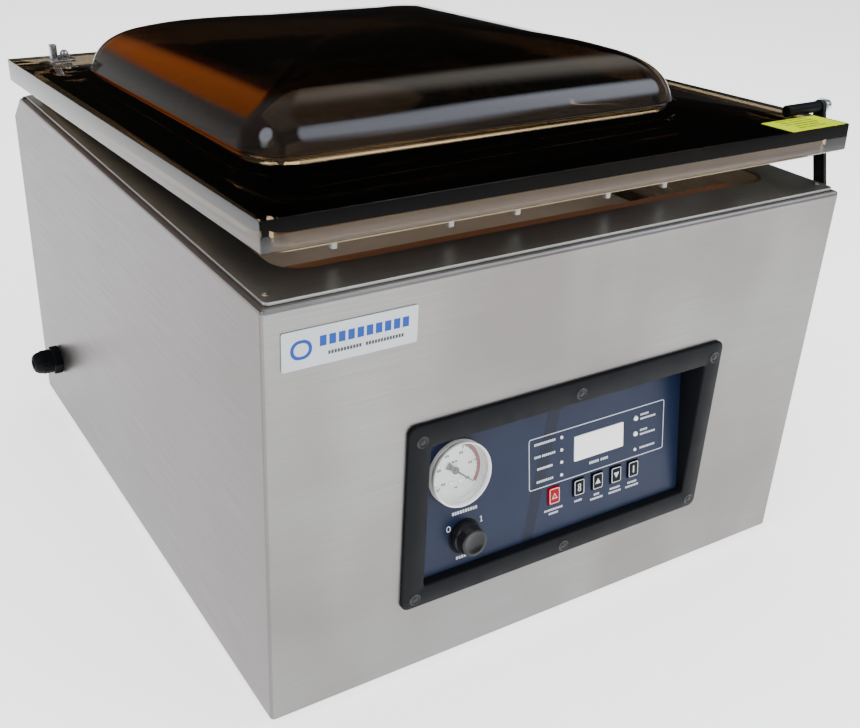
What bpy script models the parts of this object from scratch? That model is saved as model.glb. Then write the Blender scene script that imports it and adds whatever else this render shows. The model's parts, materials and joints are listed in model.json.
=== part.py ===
"""Table-top vacuum packing machine in metres: x to the right, y to the back, z up, floor at z = 0.

Each piece is one object in its rest position. The lid rests ajar with its latch hook hanging free.
"""

import math

import bmesh
import bpy
from mathutils import Matrix, Vector

# Gap between neighbouring pieces, and the sheet metal's thickness.
GAP = 0.0003
SHEET = 0.0015

# Cabinet: outer faces, the deck's top and the sloping edge at the back of the deck.
SIDE_X = 0.2380
FRONT_Y, BACK_Y = -0.2680, 0.2680
BASE_Z, DECK_Z = 0.0100, 0.3166
DECK_THICK = 0.0020
SHELL_TOP = DECK_Z - DECK_THICK - GAP
SLOPE_Y, SLOPE_Z = 0.2350, 0.2908
SLOPE_FALL = (DECK_Z - SLOPE_Z) / (BACK_Y - SLOPE_Y)
BEND = 0.0030

# Chamber: the opening in the deck and the tub below it.
CHAMBER_X = 0.2070
CHAMBER_Y = (-0.2290, 0.2050)
CHAMBER_CORNER = 0.0210
TUB_FLOOR = DECK_Z - 0.0800
TUB_THICK = 0.0020

# Seal bar and its two lifting posts.
SEAL_Y = -0.2020
SEAL_TOP = DECK_Z - 0.0120
POST_X = 0.1400
POST_RADIUS = 0.0040

# Lid, in its own frame: origin on the hinge axis, z square to the plate, y to the back.
HINGE_Y, HINGE_Z = 0.2477, 0.3130
LID_TILT = math.radians(2.66)
LID_X = 0.2359
LID_REAR, LID_FRONT = 0.0296, -0.5145
LID_LOW, LID_HIGH = 0.0089, 0.0284
DOME_X = 0.1870
DOME_Y = (LID_REAR - 0.4320, LID_REAR - 0.0600)
# Inset from the dome's foot, height above the plate and corner radius there.
DOME_PROFILE = (
    (0.0, 0.0, 0.034), (0.002, 0.0055, 0.0325), (0.005, 0.0120, 0.030), (0.010, 0.0190, 0.026),
    (0.018, 0.0260, 0.021), (0.030, 0.0325, 0.016), (0.045, 0.0375, 0.014), (0.065, 0.0425, 0.014),
    (0.095, 0.0470, 0.016), (0.130, 0.0502, 0.018), (0.160, 0.0515, 0.016),
)
DOME_WALL = 0.0060
GASKET_X = 0.2250
GASKET_Y = (LID_REAR - 0.5320, LID_REAR - 0.0500)
GASKET_WIDE = 0.0100
GASKET_Z = (LID_LOW - 0.0050, LID_LOW + 0.0070)

# Latch: y and z of its pivot over the lid's right edge, its lean from the vertical with the lower end
# to the front, pivot to notch, and y and z of the keeper.
LATCH_AXIS = (-0.2280, 0.3681)
LATCH_LEAN = math.radians(15.0)
LATCH_REACH = 0.0920
KEEPER_AT = (-0.2150, 0.2552)

# Control panel: leans back, its lower edge nearly level with the front face.
PANEL_LEAN = math.radians(8.92)
PANEL_ORIGIN = Vector((0.0, -0.2640, 0.0815))
BEZEL_X, BEZEL_Z = (-0.1395, 0.1375), (0.0650, 0.2130)
RECESS_X, RECESS_Z = (-0.1220, 0.1217), (0.0815, 0.1950)
GAUGE_AT = (-0.0872, 0.0743)
KNOB_AT = (-0.0830, 0.0230)
BUTTON_V = 0.0310
BUTTONS = {"stop": -0.0031, "select": 0.0204, "up": 0.0384, "down": 0.0566, "start": 0.0739}
BUTTON_SIZE = (0.0105, 0.0135)
DISPLAY = (0.0164, 0.0638, 0.0525, 0.0725)

# Pump set inside the cabinet.
MOTOR_AXIS = Vector((0.0, 0.0750, 0.0850))
GLAND_AT = (0.2080, 0.0670)

# Colour, metallic and roughness of each finish.
FINISHES = {
    "brushed_steel": ((0.44, 0.42, 0.40), 1.0, 0.38),
    "bright_steel": ((0.62, 0.62, 0.62), 1.0, 0.22),
    "aluminium": ((0.55, 0.55, 0.56), 1.0, 0.35),
    "smoke_acrylic": ((0.020, 0.015, 0.012), 0.0, 0.06),
    "tan_silicone": ((0.30, 0.22, 0.13), 0.0, 0.60),
    "red_silicone": ((0.30, 0.09, 0.04), 0.0, 0.55),
    "brown_tape": ((0.21, 0.10, 0.045), 0.0, 0.50),
    "white_plastic": ((0.75, 0.75, 0.72), 0.0, 0.45),
    "black_plastic": ((0.015, 0.016, 0.018), 0.0, 0.40),
    "black_rubber": ((0.012, 0.012, 0.012), 0.0, 0.75),
    "navy_film": ((0.030, 0.055, 0.130), 0.0, 0.35),
    "red_plastic": ((0.45, 0.02, 0.02), 0.0, 0.35),
    "clear_glass": ((0.80, 0.85, 0.85), 0.0, 0.05),
    "circuit_board": ((0.02, 0.16, 0.06), 0.0, 0.45),
    "cast_grey": ((0.16, 0.17, 0.18), 0.6, 0.55),
    "motor_blue": ((0.03, 0.10, 0.22), 0.2, 0.45),
}

# Outline planes: (a, b, c) of a mesh becomes (c, a, b), (a, -c, b) and (-c, -a, b) in the world.
SIDE_VIEW = Matrix(((0, 0, 1, 0), (1, 0, 0, 0), (0, 1, 0, 0), (0, 0, 0, 1)))
FRONT_VIEW = Matrix(((1, 0, 0, 0), (0, 0, -1, 0), (0, 1, 0, 0), (0, 0, 0, 1)))
LEFT_VIEW = Matrix(((0, 0, -1, 0), (-1, 0, 0, 0), (0, 1, 0, 0), (0, 0, 0, 1)))


def move(x, y, z):
    return Matrix.Translation((x, y, z))


LID_POSE = move(0.0, HINGE_Y, HINGE_Z) @ Matrix.Rotation(-LID_TILT, 4, "X")
PANEL_POSE = Matrix.Translation(PANEL_ORIGIN) @ Matrix.Rotation(math.pi / 2 - PANEL_LEAN, 4, "X")
LEFT_VIEW_AT_GLAND = move(0.0, *GLAND_AT) @ LEFT_VIEW

for old in list(bpy.data.objects):
    bpy.data.objects.remove(old, do_unlink=True)

PARTS = bpy.data.collections.new("vacuum_packing_machine")
CUTTERS = bpy.data.collections.new("cutters")
CUTTERS.hide_render = True
for collection in (PARTS, CUTTERS):
    bpy.context.scene.collection.children.link(collection)


def material_for(name, finish):
    colour, metallic, roughness = FINISHES[finish]
    made = bpy.data.materials.new(name)
    made.use_nodes = True
    shader = made.node_tree.nodes["Principled BSDF"]
    shader.inputs["Base Color"].default_value = (*colour, 1.0)
    shader.inputs["Metallic"].default_value = metallic
    shader.inputs["Roughness"].default_value = roughness
    made.diffuse_color = (*colour, 1.0)
    return made


def add(name, mesh, finish, pose):
    """Links the mesh as a piece or, when finish is None, as a cutter."""
    made = bpy.data.objects.new(name, mesh)
    made.matrix_world = pose
    if finish is None:
        CUTTERS.objects.link(made)
        made.hide_render = True
        made.display_type = "WIRE"
    else:
        PARTS.objects.link(made)
        mesh.materials.append(material_for(name, finish))
    return made


def settle(build, name):
    """Turns the bmesh into a mesh that is smooth except across sharp edges."""
    bmesh.ops.recalc_face_normals(build, faces=build.faces)
    mesh = bpy.data.meshes.new(name)
    build.to_mesh(mesh)
    build.free()
    mesh.polygons.foreach_set("use_smooth", [True] * len(mesh.polygons))
    mesh.set_sharp_from_angle(angle=math.radians(35))
    return mesh


def outline(name, loops, low, high, finish=None, pose=Matrix()):
    """A flat outline, with any holes, filled and extruded from low to high along the mesh's z."""
    curve = bpy.data.curves.new(name, "CURVE")
    curve.dimensions = "2D"
    curve.fill_mode = "BOTH"
    curve.extrude = (high - low) / 2
    for loop in loops:
        spline = curve.splines.new("POLY")
        spline.points.add(len(loop) - 1)
        spline.use_cyclic_u = True
        for point, (a, b) in zip(spline.points, loop):
            point.co = (a, b, 0.0, 1.0)
    guide = bpy.data.objects.new(name, curve)
    CUTTERS.objects.link(guide)
    filled = bpy.data.meshes.new_from_object(guide)
    bpy.data.objects.remove(guide, do_unlink=True)
    bpy.data.curves.remove(curve)
    build = bmesh.new()
    build.from_mesh(filled)
    bpy.data.meshes.remove(filled)
    bmesh.ops.remove_doubles(build, verts=build.verts, dist=1e-6)
    bmesh.ops.translate(build, verts=build.verts, vec=(0.0, 0.0, (low + high) / 2))
    if len(loops) == 1:
        bmesh.ops.dissolve_limit(build, angle_limit=0.01, verts=build.verts, edges=build.edges)
    return add(name, settle(build, name), finish, pose)


def box(name, low, high, finish=None, pose=Matrix()):
    build = bmesh.new()
    bmesh.ops.create_cube(build, size=1.0)
    low, high = Vector(low), Vector(high)
    bmesh.ops.scale(build, verts=build.verts, vec=high - low)
    bmesh.ops.translate(build, verts=build.verts, vec=(low + high) / 2)
    return add(name, settle(build, name), finish, pose)


def turned(name, profile, finish=None, pose=Matrix(), steps=24):
    """A profile of (radius, height) turned about the mesh's z. It runs down its outer side."""
    mesh = bpy.data.meshes.new(name)
    closed = profile[0][0] > 0
    edges = [(i, i + 1) for i in range(len(profile) - 1)]
    if closed:
        edges.append((len(profile) - 1, 0))
    mesh.from_pydata([(r, 0.0, h) for r, h in profile], edges, [])
    made = add(name, mesh, finish, pose)
    screw = made.modifiers.new("turn", "SCREW")
    screw.axis = "Z"
    screw.steps = screw.render_steps = steps
    screw.use_merge_vertices = True
    screw.merge_threshold = 1e-5
    screw.use_smooth_shade = steps > 8
    return made


def rod(name, radius, low, high, finish=None, pose=Matrix(), steps=20):
    return turned(name, [(0.0, high), (radius, high), (radius, low), (0.0, low)], finish, pose, steps)


def soften(target, width, segments=2, weighted=False):
    bevel = target.modifiers.new("soften", "BEVEL")
    bevel.width = width
    bevel.segments = segments
    bevel.limit_method = "WEIGHT" if weighted else "ANGLE"
    bevel.angle_limit = math.radians(40)
    return target


def weigh_edges(target, chosen):
    """Marks for a weighted Bevel the edges whose two ends satisfy chosen."""
    mesh = target.data
    weights = mesh.attributes.new("bevel_weight_edge", "FLOAT", "EDGE")
    for edge in mesh.edges:
        ends = [mesh.vertices[i].co for i in edge.vertices]
        weights.data[edge.index].value = 1.0 if chosen(*ends) else 0.0


def combine(target, other, operation):
    boolean = target.modifiers.new(operation.lower(), "BOOLEAN")
    boolean.object = other
    boolean.operation = operation
    boolean.solver = "EXACT"


def cut(target, *others):
    for other in others:
        combine(target, other, "DIFFERENCE")


def join(target, *others):
    for other in others:
        combine(target, other, "UNION")


def arc(centre, radius, start, stop, count):
    """Points on an arc, its angles in degrees, both ends included."""
    angles = [math.radians(start + (stop - start) * i / count) for i in range(count + 1)]
    return [(centre[0] + radius * math.cos(a), centre[1] + radius * math.sin(a)) for a in angles]


def circle(centre, radius, count=20):
    return arc(centre, radius, 0.0, 360.0, count)[:-1]


def rectangle(x_range, y_range):
    (x0, x1), (y0, y1) = x_range, y_range
    return [(x0, y0), (x1, y0), (x1, y1), (x0, y1)]


def rounded(x_range, y_range, radius, count=4):
    """Counter-clockwise rectangle with rounded corners."""
    (x0, x1), (y0, y1) = x_range, y_range
    centres = [(x1 - radius, y0 + radius), (x1 - radius, y1 - radius)]
    centres += [(x0 + radius, y1 - radius), (x0 + radius, y0 + radius)]
    points = []
    for corner, centre in enumerate(centres):
        points += arc(centre, radius, 90.0 * corner - 90.0, 90.0 * corner, count)
    return points


def grown(x_range, y_range, by):
    return (x_range[0] - by, x_range[1] + by), (y_range[0] - by, y_range[1] + by)


def slope_point(along, off):
    """(y, z) at a distance down the sloping rear edge and off its face."""
    length = math.hypot(1.0, SLOPE_FALL)
    run, fall = 1.0 / length, SLOPE_FALL / length
    return SLOPE_Y + along * run + off * fall, DECK_Z - along * fall + off * run


def shell_block(name, inset, top, back, finish=None):
    """The cabinet's block seen from the side, its front and top edges bent round."""
    front, side = FRONT_Y + inset, SIDE_X - inset
    if inset:
        low = BASE_Z - 0.02
        profile = [(front, low), (back, low), (back, top), (front, top)]
    else:
        low = BASE_Z
        slope_start = SLOPE_Y + (DECK_Z - top) / SLOPE_FALL
        profile = [(front, low), (back, low), (back, SLOPE_Z), (slope_start, top), (front, top)]
    block = outline(name, [profile], -side, side, finish, SIDE_VIEW)

    def bent(a, b):
        both_front = abs(a.x - front) < 1e-6 and abs(b.x - front) < 1e-6
        both_top = abs(a.y - top) < 1e-6 and abs(b.y - top) < 1e-6
        same_side = abs(a.z - b.z) < 1e-6
        return (both_front and both_top) or (same_side and (both_front or both_top))

    weigh_edges(block, bent)
    return soften(block, BEND - inset, 3, weighted=True)


def make_cabinet():
    shell = shell_block("cabinet_shell", 0.0, SHELL_TOP, BACK_Y, "brushed_steel")
    cut(
        shell,
        shell_block("cut_shell_inside", SHEET, SHELL_TOP - SHEET, BACK_Y + 0.03),
        box("cut_shell_top", (-0.2220, -0.2560, 0.30), (0.2220, 0.30, 0.33)),
        box("cut_shell_rear", (SHEET - SIDE_X, 0.2320, 0.30), (SIDE_X - SHEET, 0.30, 0.33)),
        box("cut_panel_window", (-0.1260, -0.28, 0.0775), (0.1257, -0.255, 0.1990)),
        rod("cut_gland_hole", 0.0085, 0.22, 0.25, pose=LEFT_VIEW_AT_GLAND, steps=16),
    )
    opening = rounded((-CHAMBER_X, CHAMBER_X), CHAMBER_Y, CHAMBER_CORNER, 6)
    edge = rounded((-SIDE_X + 0.004, SIDE_X - 0.004), (FRONT_Y + 0.004, SLOPE_Y), 0.003, 2)
    outline("deck_plate", [edge, opening], DECK_Z - DECK_THICK, DECK_Z, "brushed_steel")

    outer = [(BACK_Y, 0.0125), (BACK_Y, SLOPE_Z), slope_point(0.0016, 0.0)]
    inner = [slope_point(0.0016, -SHEET), (BACK_Y - SHEET, SLOPE_Z - 0.0007), (BACK_Y - SHEET, 0.0125)]
    half = SIDE_X - SHEET - GAP
    rear = outline("rear_cover", [outer + inner], -half, half, "brushed_steel", SIDE_VIEW)
    for row in range(5):
        z = 0.060 + 0.016 * row
        cut(rear, box(f"cut_louvre_{row}", (0.040, 0.26, z), (0.160, 0.27, z + 0.006)))
    inside = (BASE_Z, BASE_Z + SHEET)
    reach, front, back = SIDE_X - SHEET - 0.001, FRONT_Y + SHEET + 0.001, BACK_Y - SHEET - GAP
    box("base_plate", (-reach, front, inside[0]), (reach, back, inside[1]), "bright_steel")
    for side, x in (("left", -0.195), ("right", 0.195)):
        for end, y in (("front", -0.220), ("rear", 0.220)):
            profile = [(0.0, BASE_Z - GAP), (0.0145, BASE_Z - GAP), (0.0145, 0.005), (0.0120, 0.0), (0.0, 0.0)]
            turned(f"foot_{end}_{side}", profile, "black_rubber", move(x, y, 0.0), 16)


def make_chamber():
    wide = ((-CHAMBER_X, CHAMBER_X), CHAMBER_Y)
    outer = grown(*wide, TUB_THICK)
    tub = outline(
        "chamber_tub", [rounded(*outer, CHAMBER_CORNER + TUB_THICK, 6)],
        TUB_FLOOR - TUB_THICK, SHELL_TOP, "brushed_steel",
    )
    flange = outline(
        "join_tub_flange", [rounded(*grown(*wide, 0.0095), CHAMBER_CORNER + 0.005, 4)],
        SHELL_TOP - TUB_THICK, SHELL_TOP,
    )
    join(tub, flange)
    cut(tub, outline("cut_tub_inside", [rounded(*wide, CHAMBER_CORNER, 6)], TUB_FLOOR, 0.33))
    for side, x in (("left", -POST_X), ("right", POST_X)):
        spot = move(x, SEAL_Y, 0.0)
        cut(tub, rod(f"cut_post_hole_{side}", POST_RADIUS + 0.0005, 0.22, 0.25, pose=spot, steps=16))
        post = [(0.0, 0.2793), (POST_RADIUS, 0.2793), (POST_RADIUS, 0.1950), (0.0, 0.1950)]
        turned(f"seal_post_{side}", post, "bright_steel", spot, 16)
        bore, body = POST_RADIUS + 0.0005, 0.0130
        top, foot = TUB_FLOOR - TUB_THICK - GAP, 0.1650
        profile = [(0.0, 0.185), (bore, 0.185), (bore, top), (body, top), (body, foot), (0.0, foot)]
        turned(f"lift_cylinder_{side}", profile, "aluminium", spot, 16)
    cut(tub, rod("cut_vacuum_port", 0.0050, 0.22, 0.25, pose=move(0.095, 0.145, 0.0), steps=16))
    plate = rounded((-0.195, 0.195), (-0.190, 0.196), 0.015, 3)
    outline("filler_plate", [plate], TUB_FLOOR + GAP, TUB_FLOOR + 0.0203, "white_plastic")

    spot = move(0.0, SEAL_Y, SEAL_TOP)
    box("seal_bar", (-0.1930, -0.0070, -0.0250), (0.1930, 0.0070, -0.0015), "aluminium", spot)
    outer = [(-0.0080, -0.0115), (-0.0080, -0.0010), (-0.0070, 0.0), (0.0070, 0.0)]
    outer += [(0.0080, -0.0010), (0.0080, -0.0115)]
    inner = [(0.0073, -0.0115), (0.0073, -0.0012), (-0.0073, -0.0012), (-0.0073, -0.0115)]
    outline("seal_cover", [outer + inner], -0.1950, 0.1950, "brown_tape", spot @ SIDE_VIEW)


def dome_rings(inset_by, lowered_by, start):
    """Rings of the dome's outer or inner face, the first one carried down to the height start."""
    rings = []
    foot = [(0.0, start - LID_HIGH + lowered_by, DOME_PROFILE[0][2])]
    for inset, height, corner in foot + list(DOME_PROFILE[1 if lowered_by else 0:]):
        x_range, y_range = grown((-DOME_X, DOME_X), DOME_Y, -(inset + inset_by))
        half = min(x_range[1] - x_range[0], y_range[1] - y_range[0]) / 2
        ring = rounded(x_range, y_range, min(corner - 0.5 * inset_by, 0.98 * half), 6)
        rings.append([(x, y, LID_HIGH + height - lowered_by) for x, y in ring])
    return rings


def loft(name, rings, finish=None, pose=Matrix()):
    """A closed skin through rings of equal length, lowest first, each counter-clockwise from above."""
    build = bmesh.new()
    rows = [[build.verts.new(point) for point in ring] for ring in rings]
    for low, high in zip(rows, rows[1:]):
        for i in range(len(low)):
            j = (i + 1) % len(low)
            build.faces.new((low[i], low[j], high[j], high[i]))
    build.faces.new(rows[0][::-1])
    build.faces.new(rows[-1])
    return add(name, settle(build, name), finish, pose)


def gasket_loops(clearance):
    x_range, y_range = (-GASKET_X, GASKET_X), GASKET_Y
    outer = rounded(*grown(x_range, y_range, clearance), 0.012 + clearance, 5)
    inner = rounded(*grown(x_range, y_range, -GASKET_WIDE - clearance), 0.005, 5)
    return [outer, inner]


def make_lid():
    plate = box("lid", (-LID_X, LID_FRONT, LID_LOW), (LID_X, LID_REAR, LID_HIGH), "smoke_acrylic", LID_POSE)
    join(plate, loft("join_dome", dome_rings(0.0, 0.0, LID_LOW + 0.008), None, LID_POSE))
    hollow = dome_rings(DOME_WALL, 0.0050, LID_LOW - 0.010)
    cut(plate, loft("cut_dome_inside", hollow, None, LID_POSE))
    groove = (GASKET_Z[0] - 0.004, GASKET_Z[1] + GAP)
    cut(plate, outline("cut_gasket_groove", gasket_loops(GAP), *groove, None, LID_POSE))
    outline("lid_gasket", gasket_loops(0.0), *GASKET_Z, "tan_silicone", LID_POSE)
    bar_y = (LID_REAR - 0.4868, LID_REAR - 0.4718)
    bar_z = (LID_LOW - 0.0047, LID_LOW - GAP)
    box(
        "counter_bar", (-0.1930, bar_y[0], bar_z[0]), (0.1930, bar_y[1], bar_z[1]),
        "red_silicone", LID_POSE,
    )


def make_hinges():
    axis = (HINGE_Y, HINGE_Z)
    over = DECK_Z + GAP
    block = [(0.2290, over), slope_point(0.0, GAP), slope_point(0.0330, GAP)]
    block += [(0.2580, 0.3060), (0.2545, 0.3170), (0.2500, 0.3202), (0.2290, 0.3202)]
    low = LID_LOW - 0.0038
    arm = [(0.0176, LID_LOW - GAP), (-0.0174, LID_LOW - GAP), (-0.0174, low), (-0.0055, low)]
    arm += arc((0.0, 0.0), 0.0044, 150.0, 390.0, 10)
    arm += [(0.0055, low), (0.0176, low)]
    for side, sign in (("left", -1), ("right", 1)):
        block_x = sorted((0.1840 * sign, 0.1975 * sign))
        arm_x = sorted((0.1978 * sign, 0.2085 * sign))
        pin_x = sorted((0.1835 * sign, 0.2090 * sign))
        outline(
            f"hinge_block_{side}", [block, circle(axis, 0.0022, 12)], *block_x, "aluminium", SIDE_VIEW
        )
        hole = circle((0.0, 0.0), 0.0022, 12)
        outline(f"lid_arm_{side}", [arm, hole], *arm_x, "bright_steel", LID_POSE @ SIDE_VIEW)
        rod(f"hinge_pin_{side}", 0.0019, *pin_x, "bright_steel", move(0.0, *axis) @ SIDE_VIEW, 12)

        top = LID_HIGH + GAP
        strap_x = sorted((0.1850 * sign, 0.2070 * sign))
        strap = box(
            f"lid_strap_{side}", (strap_x[0], -0.0130, top), (strap_x[1], 0.0010, top + 0.002),
            "bright_steel", LID_POSE,
        )
        stud_x = sorted((0.2000 * sign, 0.2062 * sign))
        stud = ((stud_x[0], -0.0085, top + 0.001), (stud_x[1], -0.0023, top + 0.015))
        join(strap, box(f"join_stud_{side}", *stud, pose=LID_POSE))
        profile = [(0.0, 0.0075), (0.0022, 0.0070), (0.0038, 0.0052), (0.0042, 0.0032), (0.0048, 0.0030)]
        profile += [(0.0048, 0.0), (0.0, 0.0)]
        spot = LID_POSE @ move(0.1935 * sign, -0.0050, top + 0.0023)
        turned(f"cap_nut_{side}", profile, "bright_steel", spot, 16)


def make_latch():
    """The hook hangs from a bolt over the lid's right edge and swings back on to a keeper on the cabinet."""
    axis = move(0.0, *LATCH_AXIS) @ SIDE_VIEW
    hang = axis @ Matrix.Rotation(-LATCH_LEAN, 4, "Z")
    low, notch, reach = -LATCH_REACH - 0.0100, -LATCH_REACH, 0.0035
    bar = arc((0.0, 0.0), 0.0050, 0.0, 180.0, 8)
    bar += [(-0.0050, low + 0.0020), (-0.0030, low), (0.0050, low), (0.0050, notch - reach)]
    bar += [(0.0, notch - reach), (-0.0012, notch - 0.0020), (-0.0012, notch + 0.0020)]
    bar += [(0.0, notch + reach), (0.0050, notch + reach)]
    outline("latch_bar", [bar, circle((0.0, 0.0), 0.0022, 12)], 0.2440, 0.2470, "black_plastic", hang)
    rod("latch_sleeve", 0.00425, 0.2085, 0.2437, "black_rubber", axis, 16)
    ring = [(0.0022, 0.2488), (0.0060, 0.2488), (0.0060, 0.2473), (0.0022, 0.2473)]
    turned("latch_washer", ring, "clear_glass", axis, 16)
    bolt = [(0.0, 0.2557), (0.0030, 0.2553), (0.0044, 0.2536), (0.0046, 0.2491), (0.0019, 0.2491)]
    turned("latch_bolt", bolt + [(0.0019, 0.2440), (0.0, 0.2440)], "bright_steel", axis, 16)
    wall = SIDE_X + GAP
    keeper = [(0.0, 0.2500), (0.0030, 0.2500), (0.0030, wall + 0.0020), (0.0060, wall + 0.0020)]
    turned("latch_keeper", keeper + [(0.0060, wall), (0.0, wall)], "bright_steel",
           move(0.0, *KEEPER_AT) @ SIDE_VIEW, 16)


def make_controls():
    plate = outline(
        "control_bezel", [rounded(BEZEL_X, BEZEL_Z, 0.006, 3)],
        -FRONT_Y + GAP, -FRONT_Y + 0.0030, "black_plastic", FRONT_VIEW,
    )
    sleeve = grown(RECESS_X, RECESS_Z, 0.0018)
    join(plate, outline("join_sleeve", [rectangle(*sleeve)], 0.240, 0.270, pose=FRONT_VIEW))
    window = rounded(RECESS_X, RECESS_Z, 0.002, 2)
    cut(plate, outline("cut_recess", [window], 0.230, 0.280, pose=FRONT_VIEW))

    face = ((RECESS_X[0] + GAP, RECESS_X[1] - GAP), (0.0007, 0.1146))
    holes = [circle(GAUGE_AT, 0.0237, 24), circle(KNOB_AT, 0.0036, 12)]
    half_x, half_v = BUTTON_SIZE[0] / 2, BUTTON_SIZE[1] / 2
    for x in BUTTONS.values():
        holes.append(rectangle(*grown((x - half_x, x + half_x), (BUTTON_V - half_v, BUTTON_V + half_v), GAP)))
    holes.append(rectangle(*grown(DISPLAY[:2], DISPLAY[2:], GAP)))
    outline("control_panel", [rounded(*face, 0.002, 2)] + holes, -0.0020, 0.0, "navy_film", PANEL_POSE)
    box(
        "display_window", (DISPLAY[0], DISPLAY[2], -0.0018), (DISPLAY[1], DISPLAY[3], 0.0004),
        "black_plastic", PANEL_POSE,
    )
    for label, x in BUTTONS.items():
        finish = "red_plastic" if label == "stop" else "black_plastic"
        cap = box(
            f"button_{label}", (-half_x, -half_v, -0.0030), (half_x, half_v, 0.0016),
            finish, PANEL_POSE @ move(x, BUTTON_V, 0.0),
        )
        soften(cap, 0.0005, 1)
    box("control_board", (-0.0300, 0.0200, -0.0066), (0.1050, 0.0850, -0.0050), "circuit_board", PANEL_POSE)

    spot = PANEL_POSE @ move(*KNOB_AT, 0.0)
    profile = [(0.0, 0.0132), (0.0080, 0.0136), (0.0096, 0.0132), (0.0104, 0.0120), (0.0104, 0.0072)]
    profile += [(0.0114, 0.0066), (0.0118, 0.0006), (0.0030, 0.0006), (0.0030, -0.0080), (0.0, -0.0080)]
    turned("power_knob", profile, "black_plastic", spot, 24)
    switch = box("power_switch", (-0.011, -0.011, -0.0300), (0.011, 0.011, -0.0023), "black_plastic", spot)
    cut(switch, rod("cut_switch_bore", 0.0034, -0.0085, 0.01, pose=spot, steps=12))


def make_gauge():
    spot = PANEL_POSE @ move(*GAUGE_AT, 0.0)
    case = [(0.0, -0.0045), (0.0226, -0.0045), (0.0226, 0.0074), (0.0230, 0.0080), (0.0235, 0.0080)]
    case += [(0.0240, 0.0074), (0.0240, GAP), (0.0234, GAP), (0.0234, -0.0260), (0.0, -0.0260)]
    turned("gauge_case", case, "white_plastic", spot, 32)
    rod("gauge_dial", 0.0223, -0.0042, -0.0032, "white_plastic", spot, 24)
    rod("gauge_lens", 0.0223, 0.0040, 0.0054, "clear_glass", spot, 24)
    needle = arc((0.0, 0.0), 0.0026, 20.0, 340.0, 12) + [(0.0090, -0.0007), (0.0165, -0.0003)]
    needle += [(0.0165, 0.0003), (0.0090, 0.0007)]
    aim = Matrix.Rotation(math.radians(-40.0), 4, "Z")
    outline("gauge_pointer", [needle], -0.0025, -0.0016, "black_plastic", spot @ aim)


def make_gland():
    body = [(0.0, 0.0083), (0.0135, 0.0083), (0.0135, GAP), (0.0, GAP)]
    base = turned("gland_body", body, "black_plastic", LEFT_VIEW_AT_GLAND @ move(0.0, 0.0, SIDE_X), 6)
    shank = LEFT_VIEW_AT_GLAND @ move(0.0, 0.0, SIDE_X)
    join(base, rod("join_gland_shank", 0.0080, -0.0150, 0.0040, pose=shank, steps=16))
    cut(base, rod("cut_gland_body_bore", 0.0036, -0.03, 0.03, pose=shank, steps=12))
    cap = [(0.0036, 0.0260), (0.0070, 0.0258), (0.0098, 0.0230), (0.0110, 0.0180), (0.0110, 0.0086)]
    cap += [(0.0036, 0.0086)]
    turned("gland_nut", cap, "black_plastic", shank, 20)


def make_pump_set():
    inside = BASE_Z + SHEET + GAP
    pump = box("vacuum_pump", (-0.165, 0.0, inside), (-0.035, 0.150, 0.150), "cast_grey")
    soften(pump, 0.006, 2)
    spot = Matrix.Translation(MOTOR_AXIS) @ SIDE_VIEW
    profile = [(0.0, 0.1300), (0.0050, 0.1300), (0.0050, 0.1203), (0.0520, 0.1203), (0.0620, 0.1120)]
    profile += [(0.0620, -0.0260), (0.0520, -0.0347), (0.0, -0.0347)]
    motor = turned("pump_motor", profile, "motor_blue", spot, 24)
    join(motor, box("join_motor_foot", (0.0, 0.030, inside), (0.090, 0.120, 0.060)))
    blades = []
    for blade in range(6):
        turn = 60.0 * blade
        blades += arc((0.0, 0.0), 0.0120, turn - 22.0, turn + 8.0, 3)
        blades += arc((0.0, 0.0), 0.0520, turn + 16.0, turn + 30.0, 2)
    fan_spot = spot @ move(0.0, 0.0, 0.1330)
    outline("motor_fan", [blades], 0.0, 0.0080, "white_plastic", fan_spot)
    across = move(-0.100, 0.0, 0.1805) @ FRONT_VIEW
    profile = [(0.0, -0.010), (0.0240, -0.010), (0.0280, -0.014), (0.0280, -0.136), (0.0240, -0.140)]
    turned("exhaust_filter", profile + [(0.0, -0.140)], "cast_grey", across, 20)
    core = box("transformer", (0.130, -0.190, inside), (0.200, -0.130, 0.070), "cast_grey")
    join(core, box("join_coil", (0.140, -0.200, 0.025), (0.190, -0.120, 0.060)))
    valve = box("solenoid_valve", (0.080, 0.128, 0.200), (0.110, 0.162, 0.226), "bright_steel")
    under_tub = TUB_FLOOR - TUB_THICK - GAP
    neck = rod("join_valve_neck", 0.0070, 0.220, under_tub, pose=move(0.095, 0.145, 0.0), steps=16)
    coil_spot = move(0.0, 0.145, 0.213) @ SIDE_VIEW
    join(valve, neck, rod("join_valve_coil", 0.0110, 0.105, 0.145, pose=coil_spot, steps=16))

    path = bpy.data.curves.new("vacuum_hose", "CURVE")
    path.dimensions = "3D"
    path.resolution_u = 5
    path.bevel_depth = 0.0070
    path.bevel_resolution = 2
    path.use_fill_caps = True
    spline = path.splines.new("BEZIER")
    spline.bezier_points.add(2)
    knots = (
        ((0.095, 0.145, 0.1997), (0.0, 0.0, -0.022)),
        ((0.015, 0.100, 0.1680), (-0.035, -0.020, 0.0)),
        ((-0.052, 0.050, 0.1503), (0.0, 0.0, -0.018)),
    )
    for point, (at, handle) in zip(spline.bezier_points, knots):
        point.co = at
        point.handle_left_type = point.handle_right_type = "FREE"
        point.handle_left = Vector(at) - Vector(handle)
        point.handle_right = Vector(at) + Vector(handle)
    hose = bpy.data.objects.new("vacuum_hose", path)
    path.materials.append(material_for("vacuum_hose", "black_rubber"))
    PARTS.objects.link(hose)


def make_name_label():
    label = rounded((-0.2266, -0.1357), (0.2732, 0.2980), 0.0012, 2)
    outline("name_label", [label], -FRONT_Y + GAP, -FRONT_Y + 0.0009, "aluminium", FRONT_VIEW)



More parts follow.
